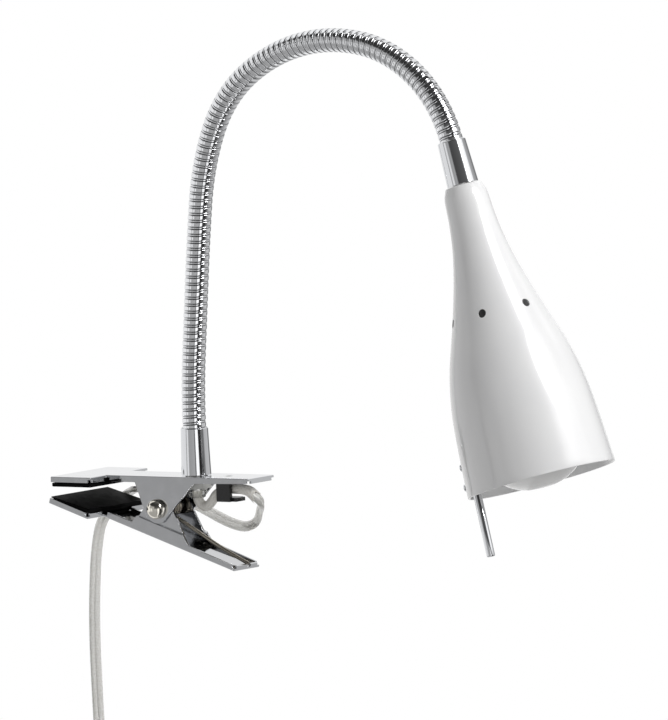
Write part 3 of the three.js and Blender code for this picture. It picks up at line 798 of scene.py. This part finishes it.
def make_hose():
    """Each length of hose goes from the middle of one rigid length to the middle of the next.
    It runs on unbroken over the joint between them or, where it is split, parts there in a seam."""
    final = len(HOSE_BODIES) - 1
    for index in range(1, final + 1):
        before, after = HOSE_BODIES[index - 1], HOSE_BODIES[index]
        nodes = [f"gooseneck_{index}"]
        first, last = 0, TURNS_A_JOINT
        if index == 1:
            first = -HIDDEN_TURNS
        if index == final:
            last += HIDDEN_TURNS
            nodes.append(f"gooseneck_{final + 1}")
        if index in SPLIT_HOSES:
            middle = TURNS_A_JOINT // 2
            for start, end, body in ((first, middle, before), (middle, last, after)):
                piece = paint(hose_piece(index, start, end), "hose_chrome")
                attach(piece, body)
                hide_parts(*nodes)
            make_bead(index, before)
            continue
        piece = paint(hose_piece(index, first, last), "hose_chrome")
        foot = (index - 1) * JOINT_SPACING
        places = (neck_at(foot + BEND_FROM), neck_at(foot + BEND_TO))
        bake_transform(piece)
        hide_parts(*nodes)


def make_bead(index, body):
    """A ball at the joint, seen in the seam when it opens."""
    x, z, _ = neck_at((index - 0.5) * JOINT_SPACING)
    steps = 24
    rises = [math.pi * (i / steps - 0.5) for i in range(1, steps)]
    profile = [(BEAD_RADIUS * math.cos(t), BEAD_RADIUS * math.sin(t)) for t in rises]
    profile = [(0, -BEAD_RADIUS), *profile, (0, BEAD_RADIUS)]
    bead = lathe(f"hose_{index}_bead", profile, Matrix.Translation(at(x, 0, z)), 48)
    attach(paint(bead, "hose_chrome"), body)


STEM_AXIS = Matrix.Translation(at(0, 0, 0))
HEAD_X, HEAD_Z, HEAD_HEADING = neck_at(NECK_LENGTH + HEAD_FERRULE_HEIGHT + 0.3)
HEAD = Matrix.Translation(at(HEAD_X, 0, HEAD_Z)) @ Matrix.Rotation(HEAD_HEADING - math.pi, 4, "Y")
LOWER = (
    Matrix.Translation(at(*PIVOT))
    @ Matrix.Rotation(LOWER_TILT, 4, "Y")
    @ Matrix.Rotation(math.pi, 4, "X")
)


def make_ferrules():
    stem = [(5.2, 0.3), (7.1, 0.3), (6.5, 22.2), (6.1, 22.6), (5.95, 22.6), (5.95, 9), (5.2, 8)]
    head = [(5.2, 0.3), (7.5, 0.3), (6.7, 21.1), (6.3, 21.5), (5.95, 21.5), (5.95, 8.9)]
    head.append((5.2, 7.9))
    for name, profile, matrix in (
        ("stem_ferrule", stem, STEM_AXIS),
        ("head_ferrule", head, HEAD),
    ):
        piece = lathe(name + "_turned", profile, matrix, 96, closed=True, smooth_angle=25)
        bevel(piece, 0.35, 4, angle=40)
        settle(paint(piece, "chrome"), name)


# ---- clamp ----

FACING = 0.7  # least part of a face's normal that counts as facing a way
PAINTED_SHADE_UNDER_PLATE = 0.6  # share of painted shade under the plate between the side walls


def mark_painted_shade(piece, jaw):
    """Stores on each face how much painted shade darkens it: whole on the inner side of the side
    walls, less under the plate between them, none outside."""
    to_jaw = jaw.inverted() @ piece.matrix_world
    turn = to_jaw.to_3x3()
    shares = []
    for face in piece.data.polygons:
        centre, normal = to_jaw @ face.center, turn @ face.normal
        share = 0.0
        if abs(normal.y) > FACING and normal.y * centre.y < 0:
            share = 1.0
        elif normal.z < -FACING and abs(centre.y) < JAW_HALF_WIDTH * MM:
            share = PAINTED_SHADE_UNDER_PLATE
        shares.append(share)
    inside = piece.data.attributes.new("inside", "FLOAT", "FACE")
    inside.data.foreach_set("value", shares)


def make_jaws():
    for node, jaw, height in (
        ("upper_jaw", Matrix.Translation(at(*PIVOT)), UPPER_PLATE),
        ("lower_jaw", LOWER, LOWER_PLATE),
    ):
        face = jaw @ Vector((0, 0, height * MM)), jaw.to_3x3() @ Vector((0, 0, 1))
        piece = paint(finished(node, fold=face), "chrome")
        # painted shade inside the jaw
        mark_painted_shade(piece, jaw)
    for node in ("upper_jaw_pad", "lower_jaw_pad"):
        paint(finished(node, 0.5, 3), "rubber")


CAP = {"radius": 4.75, "rise": 4.28, "rim": 0.6, "socket": 2.3, "depth": 3.2, "gap": 0.3}


def make_pivot_caps():
    radius, rim, socket = CAP["radius"], CAP["rim"], CAP["socket"]
    # painted reflection: a brighter, warmer copy of the chrome stands in for the warm light the
    # caps reflect
    warm_lit_chrome = polished_metal("cap_chrome_painted_warm", (0.97, 0.93, 0.84), (0.10, 0.20), 0.02)
    dome = [(radius, 0.0), (radius, rim - 0.05)]
    dome += [
        (radius * math.cos(t), rim + CAP["rise"] * math.sin(t))
        for t in (math.radians(90 * i / 14) for i in range(1, 14))
    ]
    dome += [(0, rim + CAP["rise"])]
    profile = [(0, CAP["depth"]), (socket, CAP["depth"]), (socket, 0.0), *dome]
    for node, turn in (("pivot_cap_near", 1), ("pivot_cap_far", -1)):
        side = Matrix.Translation((0, 0, (JAW_HALF_WIDTH + CAP["gap"]) * MM))
        facing = Matrix.Rotation(turn * math.pi / 2, 4, "X")
        matrix = Matrix.Translation(at(*PIVOT)) @ facing @ side
        piece = lathe(node + "_domed", profile, matrix, 48, smooth_angle=50)
        settle(paint(piece, "chrome", warm_lit_chrome), node)


SPRING = {"wire": 1.85, "coil_radius": 3.25, "half_length": 6.4, "step": 0.45}
SPRING_COIL = (105, 105 + 360 * 5 + 170)  # degrees round the pin, from leg to leg
DEGREES_A_POINT = 15


def make_spring():
    """One wire: short leg under the upper plate, coil round the pin, long leg down the handle."""
    radius = SPRING["coil_radius"]
    end = SPRING["half_length"] - SPRING["wire"] / 2
    tilt = Matrix.Rotation(LOWER_TILT, 3, "Y")
    short_leg = [(8, end, 12.2), (6.2, end, 8.8), (4, end, 5.8), (1.8, end, 3.9)]
    down_handle = ((4.6, -end, -2.4), (8.4, -end, -1.7), (19.3, -3.5, -4.4), (33.9, -1.2, -8.2))
    long_leg = [tilt @ Vector(p) for p in (*down_handle, (50, 1.6, -11.5))]
    first, last = SPRING_COIL
    steps = (last - first) // DEGREES_A_POINT
    coil = []
    for i in range(steps + 1):
        angle = math.radians(first + (last - first) * i / steps)
        y = end - 2 * end * i / steps
        coil.append(Vector((radius * math.cos(angle), y, radius * math.sin(angle))))
    spans = [at(*PIVOT) + p * MM for p in [*map(Vector, short_leg), *coil, *long_leg]]
    line = evenly(catmull_rom(spans, 6), SPRING["step"] * MM)
    section = ring(SPRING["wire"] / 2, 14)
    piece = sweep("spring_wire", line, section, steady_frames(line, (0, 1, 0)), smooth_angle=50)
    paint(piece, "spring_steel")
    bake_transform(piece)
    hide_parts("torsion_spring", "torsion_spring_long_leg")


SLEEVE = {"wide": 2.45, "thick": 2.25, "wall": 0.3, "flare_from": 0.82, "ragged_rows": 8}
FLARE = (0.75, 0.2)  # how much wider and thicker the sleeve is at its cut end
# The cut end's waves: height, waves round the end, and where they start, in radians.
RAGGED_WAVES = ((1.5, 2, 0.6), (0.5, 7, 0), (0.3, 13, 1))


def make_sleeve():
    """Woven sleeve, flattened over the twin cord, flaring to its ragged cut end."""
    line = evenly(catmull_rom([at(*p) for p in SLEEVE_ROUTE], 8), 0.5 * MM)
    sides = 40
    angles = [2 * math.pi * i / sides for i in range(sides)]
    frames = steady_frames(line, (0, 1, 0))

    def outline(share):
        flare = max(0.0, (share - SLEEVE["flare_from"]) / (1 - SLEEVE["flare_from"]))
        wide = (SLEEVE["wide"] + FLARE[0] * flare) * MM
        thick = (SLEEVE["thick"] + FLARE[1] * flare) * MM
        return [(wide * math.cos(t), thick * math.sin(t)) for t in angles]

    piece = sweep("woven_sleeve", line, outline, frames, capped=False, smooth_angle=60)
    along = frames[-1][0]
    rows = SLEEVE["ragged_rows"]
    first = len(line) - rows
    for row in range(first, len(line)):
        pull = (row - first + 1) / rows
        for i, angle in enumerate(angles):
            jag = sum(height * math.sin(n * angle + start) for height, n, start in RAGGED_WAVES)
            piece.data.vertices[row * sides + i].co += along * (jag * pull * MM)
    wall = piece.modifiers.new("wall", "SOLIDIFY")
    wall.thickness, wall.offset = SLEEVE["wall"] * MM, -1
    keep_modifiers(piece)
    smooth(piece, 60)
    settle(paint(piece, "glass_fibre"), "insulating_sleeve")


def make_bush():
    profile = [(2.7, -7.3), (4.6, -7.3), (4.75, -7.9), (4.7, -8.6), (4.15, -9.2), (4.0, -10.2)]
    profile += [(3.5, -10.6), (2.9, -10.6), (2.7, -10.3)]
    piece = lathe("moulded_bush", profile, STEM_AXIS, 64, closed=True, smooth_angle=50)
    settle(paint(piece, "clear_pvc", clear_glassy()), "cable_bush")


def make_small_clamp_parts():
    for node, slot, width in (
        ("cable_clip", "black_plastic", 0.35),
        ("stem_nut", "zinc_steel", 0.3),
        ("stem_lock_washer", "zinc_steel", 0.15),
    ):
        paint(finished(node, width, 3), slot)


# ---- head ----

# Depth below the shade's top, and its outer radius there.
SHADE_OUTLINE = [
    (0.5, 8.8),
    (4.7, 10.2),
    (16, 11.1),
    (28, 12.7),
    (40, 15.3),
    (52.6, 18.8),
    (67.7, 23.6),
    (80.8, 28),
    (92.8, 31),
    (105, 33),
    (122, 34.4),
    (142.5, 35.6),
]


def shade_line():
    """The outline as a smooth curve: (depth, radius) every millimetre or two."""
    flat = [(depth, radius, 0) for depth, radius in SHADE_OUTLINE]
    return [(p.x, p.y) for p in catmull_rom(flat, 7)]


def make_shade():
    line = shade_line()
    outer = [(radius, -depth) for depth, radius in line]
    inner = [(radius - SHADE_WALL, -depth) for depth, radius in line if depth > 3]
    rim = (SHADE_WALL / 2, line[-1][1] - SHADE_WALL / 2)
    rolled = [
        (rim[1] + rim[0] * math.cos(t), -SHADE_LENGTH + 0.1 - rim[0] * math.sin(t))
        for t in (math.radians(180 * i / 6) for i in range(1, 6))
    ]
    outer[-1] = (outer[-1][0], outer[-1][1] + 0.1)
    inner[-1] = (inner[-1][0], inner[-1][1] + 0.1)
    top = [(5.2, -1.2), (5.2, 0.0), (7.9, 0.0), (8.45, -0.12)]
    under = [(7.6, -1.45), (5.6, -1.2)]
    profile = [*top, *outer, *rolled, *reversed(inner), *under]
    piece = lathe("lacquered_shade", profile, HEAD, 128, closed=True, smooth_angle=40)
    drill(piece)
    smooth(piece, 40)
    paint(piece, "white_lacquer")
    piece.visible_glossy = False
    settle(piece, "shade")


def drill(piece):
    """Cuts the ring of vent holes."""
    tools = []
    for i in range(VENTS["count"]):
        angle = math.radians(VENTS["first_angle"] + 360 * i / VENTS["count"])
        turn = Matrix.Rotation(angle, 4, "Z") @ Matrix.Rotation(math.pi / 2, 4, "Y")
        matrix = HEAD @ Matrix.Translation((0, 0, -VENTS["depth"] * MM)) @ turn
        radius = VENTS["radius"]
        tools.append(lathe("tool", [(0, 12), (radius, 12), (radius, 40), (0, 40)], matrix, 32))
    for tool in tools:
        cut = piece.modifiers.new("cut", "BOOLEAN")
        cut.object, cut.operation, cut.solver = tool, "DIFFERENCE", "EXACT"
    keep_modifiers(piece)
    for tool in tools:
        bpy.data.objects.remove(tool)


BULB_OUTLINE = [
    (6.3, 1),
    (9.5, 4),
    (13.5, 13),
    (19, 25),
    (23.6, 36),
    (25, 44),
    (24, 51),
    (20.5, 57.5),
    (14.6, 62.6),
    (7.5, 65.4),
    (0, 66),
]


def make_bulb():
    neck = BULB_CROWN - BULB_OUTLINE[-1][1]
    smooth_line = catmull_rom([(radius, depth, 0) for radius, depth in BULB_OUTLINE], 5)
    profile = [(max(p.x, 0), -neck - p.y) for p in smooth_line]
    profile[-1] = (0, -BULB_CROWN)
    profile = [(0, -neck - 1), *profile]
    piece = lathe("bulb_envelope", profile, HEAD, 96, smooth_angle=60)
    settle(paint(piece, "opal_glass"), "bulb_glass")


def make_rod():
    place = (
        Matrix.Rotation(math.radians(ROD["angle"]), 4, "Z")
        @ Matrix.Translation((ROD["distance"] * MM, 0, -ROD["top"] * MM))
        @ Matrix.Rotation(math.radians(-ROD["lean"]), 4, "Y")
    )
    radius, length = ROD["radius"], ROD["length"]
    tip = [
        (radius - 0.6 + 0.6 * math.cos(t), -length + 0.6 - 0.6 * math.sin(t))
        for t in (math.radians(90 * i / 5) for i in range(6))
    ]
    profile = [(0, 0), (radius - 0.3, 0), (radius, -0.3), *tip, (0, -length)]
    piece = lathe("turned_rod", profile, HEAD @ place, 48, smooth_angle=50)
    settle(paint(piece, "chrome"), "aiming_rod")
    paint(finished("rod_bracket", 0.3, 3), "black_plastic")
    for node in ("rod_rivet_1", "rod_rivet_2"):
        paint(finished(node, 0.25, 3, smooth_angle=60), "chrome")


# ---- switch, plug and tie ----

def make_fittings():
    for node, slot, width in (
        ("switch_cover", "white_plastic", 1.2),
        ("switch_base", "white_plastic", 1.2),
        ("switch_rocker", "white_plastic", 0.4),
        ("plug_body", "white_plastic", 1.4),
        ("plug_pin_left", "chrome", 0.3),
        ("plug_pin_right", "chrome", 0.3),
        ("coil_tie", "black_plastic", 0.3),
    ):
        paint(finished(node, width, 4), slot)


# ---- studio ----

# What stands round the studio, as (degrees to the right of the camera, brightness), from
# straight behind the object round to there again: white walls, grey cards, a white card
# near the camera, a dark gap and dimmer walls.
STUDIO_RING = [
    (-180, 0.90),
    (-79, 0.84),
    (-77.5, 0.34),
    (-72.5, 0.34),
    (-71, 0.84),
    (-58, 0.84),
    (-54, 0.36),
    (-6, 0.43),
    (-3, 0.10),
    (1, 0.10),
    (5, 1.25),
    (24, 1.25),
    (28, 0.02),
    (58, 0.03),
    (62, 0.17),
    (76, 0.20),
    (82, 0.52),
    (128, 0.60),
    (133, 0.16),
    (156, 0.20),
    (164, 0.90),
]
# A little higher, the dark gap stands in front and the window right of it.
HIGH_RING = [
    (-180, 0.90),
    (-92, 0.84),
    (-87, 0.34),
    (-36, 0.42),
    (-30, 0.06),
    (40, 0.12),
    (47, 1.15),
    (90, 1.15),
    (97, 0.50),
    (135, 0.30),
    (160, 0.90),
]
HIGH_FROM = (0.08, 0.22)  # heights where it starts and is whole, of a unit direction
# Above the ring the room is dark, but for the white sweep that goes up behind the object.
SKY_RING = [(-180, 0.95), (-125, 0.95), (-112, 0.03), (105, 0.04), (125, 0.90)]
SKY_FROM = (0.40, 0.58)  # heights where the sky starts and is whole, of a unit direction
ZENITH, ZENITH_FROM = 0.08, (0.88, 0.97)
# Below the ring the same walls and cards go on, softer.
UNDER_RING = [
    (-180, 0.92),
    (-128, 0.85),
    (-112, 0.34),
    (-6, 0.36),
    (-3, 0.10),
    (1, 0.10),
    (5, 1.00),
    (24, 1.00),
    (28, 0.03),
    (58, 0.03),
    (70, 0.20),
    (100, 0.35),
    (145, 0.60),
]
UNDER_FROM = (-0.20, -0.40)  # depths where it starts and is whole


def math_node(tree, operation, *values, clamp=False):
    node = tree.nodes.new("ShaderNodeMath")
    node.operation = operation
    node.use_clamp = clamp
    for socket, value in zip(node.inputs, values):
        if isinstance(value, (int, float)):
            socket.default_value = value
        else:
            tree.links.new(value, socket)
    return node.outputs["Value"]


# A colour mix's own sockets, which share their names with its number and vector ones.
MIX_FACTOR, MIX_FIRST, MIX_SECOND, MIX_RESULT = 0, 6, 7, 2


def mixed(tree, factor, first, second):
    """first, fading into a second output or a plain grey as factor goes to 1."""
    node = tree.nodes.new("ShaderNodeMix")
    node.data_type = "RGBA"
    if isinstance(second, (int, float)):
        node.inputs[MIX_SECOND].default_value = (second, second, second, 1)
    else:
        tree.links.new(second, node.inputs[MIX_SECOND])
    tree.links.new(factor, node.inputs[MIX_FACTOR])
    tree.links.new(first, node.inputs[MIX_FIRST])
    return node.outputs[MIX_RESULT]


def make_world():
    world = bpy.data.worlds.new("studio")
    bpy.context.scene.world = world
    world.use_nodes = True
    tree = world.node_tree
    background = tree.nodes["Background"]
    where = tree.nodes.new("ShaderNodeTexCoord")
    axes = tree.nodes.new("ShaderNodeSeparateXYZ")
    tree.links.new(where.outputs["Generated"], axes.inputs["Vector"])
    bearing = math_node(tree, "ARCTAN2", axes.outputs["Y"], axes.outputs["X"])
    camera_bearing = PHOTO_AZIMUTH - math.pi / 2
    turned = math_node(tree, "SUBTRACT", bearing, camera_bearing - math.pi)
    share = math_node(tree, "WRAP", math_node(tree, "DIVIDE", turned, 2 * math.pi), 1.0, 0.0)
    ring_light, high_light, sky_light, under_light = (
        ramp(tree, share, [((degrees + 180) / 360, v) for degrees, v in stops])
        for stops in (STUDIO_RING, HIGH_RING, SKY_RING, UNDER_RING)
    )

    def from_height(low, high):
        fade = tree.nodes.new("ShaderNodeMapRange")
        fade.interpolation_type = "SMOOTHSTEP"
        fade.inputs["From Min"].default_value = low
        fade.inputs["From Max"].default_value = high
        tree.links.new(axes.outputs["Z"], fade.inputs["Value"])
        return fade.outputs["Result"]

    light = mixed(tree, from_height(*HIGH_FROM), ring_light, high_light)
    light = mixed(tree, from_height(*SKY_FROM), light, sky_light)
    light = mixed(tree, from_height(*ZENITH_FROM), light, ZENITH)
    light = mixed(tree, from_height(*UNDER_FROM), light, under_light)
    path = tree.nodes.new("ShaderNodeLightPath")
    seen = mixed(tree, path.outputs["Is Camera Ray"], light, 1.0)
    tree.links.new(seen, background.inputs["Color"])


FLOOR_HEIGHT = -0.295  # metres in the row frame
FLOOR_RINGS = (0, 300, 900, 1500)


def make_floor():
    """A round white table, pale and matt, which lights nothing and shows in no mirror."""
    profile = [(radius, 0) for radius in FLOOR_RINGS]
    floor = lathe("floor", profile, Matrix.Translation((0, 0, FLOOR_HEIGHT)), 96)
    material, tree, principled = shader(
        "floor", (0.93, 0.93, 0.93), 0.9, Emission_Color=(1, 1, 1, 1), Emission_Strength=0.3
    )
    grain = texture_of(tree, "ShaderNodeTexNoise", 0.3, Detail=3)
    bump(tree, principled, grain.outputs["Fac"], 0.05)
    floor.data.materials.append(material)
    floor.visible_diffuse = False
    floor.visible_glossy = False


def area_light(name, place, aim, size, power):
    light = bpy.data.lights.new(name, "AREA")
    light.shape, light.size, light.energy = "DISK", size, power
    lamp = bpy.data.objects.new(name, light)
    bpy.context.scene.collection.objects.link(lamp)
    lamp.location = place
    lamp.rotation_mode = "QUATERNION"
    lamp.rotation_quaternion = (Vector(aim) - Vector(place)).to_track_quat("-Z", "Y")
    lamp.visible_camera = False
    return lamp


# Lights, so many degrees to the right of the camera and above the level, and their aim.
KEY = {"bearing": 60, "height": 38, "distance": 2.0, "size": 1.0, "power": 29}
FILL = {"bearing": 30, "height": -8, "distance": 2.4, "size": 1.2, "power": 3.5}
LIGHTS_AIM = Vector((0.1, 0, 0.03))


def lit_from(name, spot):
    around = PHOTO_AZIMUTH - math.pi / 2 + math.radians(spot["bearing"])
    rise = math.radians(spot["height"])
    level = math.cos(rise)
    towards = Vector((math.cos(around) * level, math.sin(around) * level, math.sin(rise)))
    place = LIGHTS_AIM + towards * spot["distance"]
    return area_light(name, place, LIGHTS_AIM, spot["size"], spot["power"])


def make_lights():
    """A large softbox, and a weak light from the front that mirrors don't show."""
    lit_from("softbox", KEY)
    lit_from("fill", FILL).visible_glossy = False


make_hose()
make_ferrules()
make_jaws()
make_pivot_caps()
make_spring()
make_sleeve()
make_bush()
make_small_clamp_parts()
make_shade()
make_bulb()
make_rod()
make_fittings()
for kept, kept_slot in (
    ("pivot_pin", "zinc_steel"),
    ("stem_nipple", "zinc_steel"),
    ("head_nipple", "zinc_steel"),
    ("head_lock_washer", "zinc_steel"),
    ("head_nut", "zinc_steel"),
    ("lampholder_dome", "lampholder_plastic"),
    ("lampholder_skirt", "lampholder_plastic"),
    ("lampholder_shell", "brass"),
    ("lampholder_contact", "brass"),
    ("bulb_cap", "brass"),
):
    paint_node(kept, kept_slot)
make_world()
make_floor()
make_lights()
bpy.context.scene.view_settings.view_transform = "Standard"
